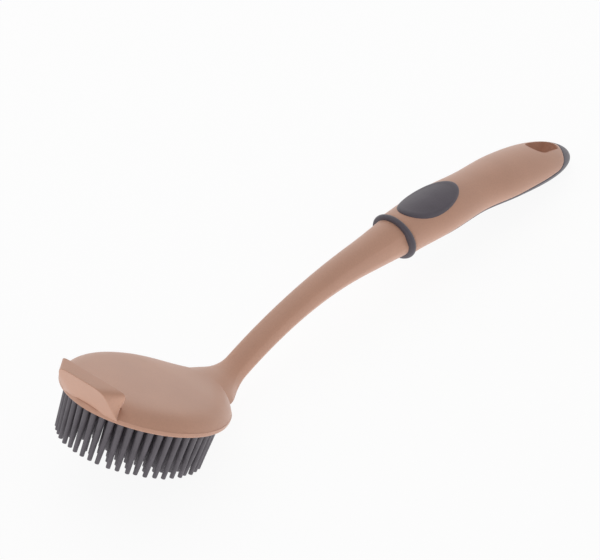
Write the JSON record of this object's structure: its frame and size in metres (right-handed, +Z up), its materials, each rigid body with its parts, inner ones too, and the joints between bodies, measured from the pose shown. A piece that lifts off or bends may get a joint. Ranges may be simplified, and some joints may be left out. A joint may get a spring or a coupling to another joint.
{
  "type": "dish brush",
  "caption": "Long-handled dish brush with a low oval head, soft bristles, a forward scraping lip, an arched neck and a soft-touch handle with a thumb pad and a hanging hole.",
  "frame": {"origin": "centre of the bounding box at the level of the surface the brush lies on", "axes": "+X from the head towards the handle's butt, +Z up from the surface it lies on, bristles down"},
  "size_m": [0.3052, 0.0632, 0.06],
  "materials": {
    "taupe_plastic": "fine matte texture",
    "dark_silicone": "satin",
    "carrier_plastic": "matte",
    "soft_grey": "matte"
  },
  "bodies": {
    "root": {"head_and_neck": "taupe_plastic", "bristle_pad": "dark_silicone", "pad_carrier": "carrier_plastic", "collar_ring": "soft_grey", "handle": "taupe_plastic", "thumb_pad": "soft_grey", "back_grip": "soft_grey"}
  },
  "joints": []
}
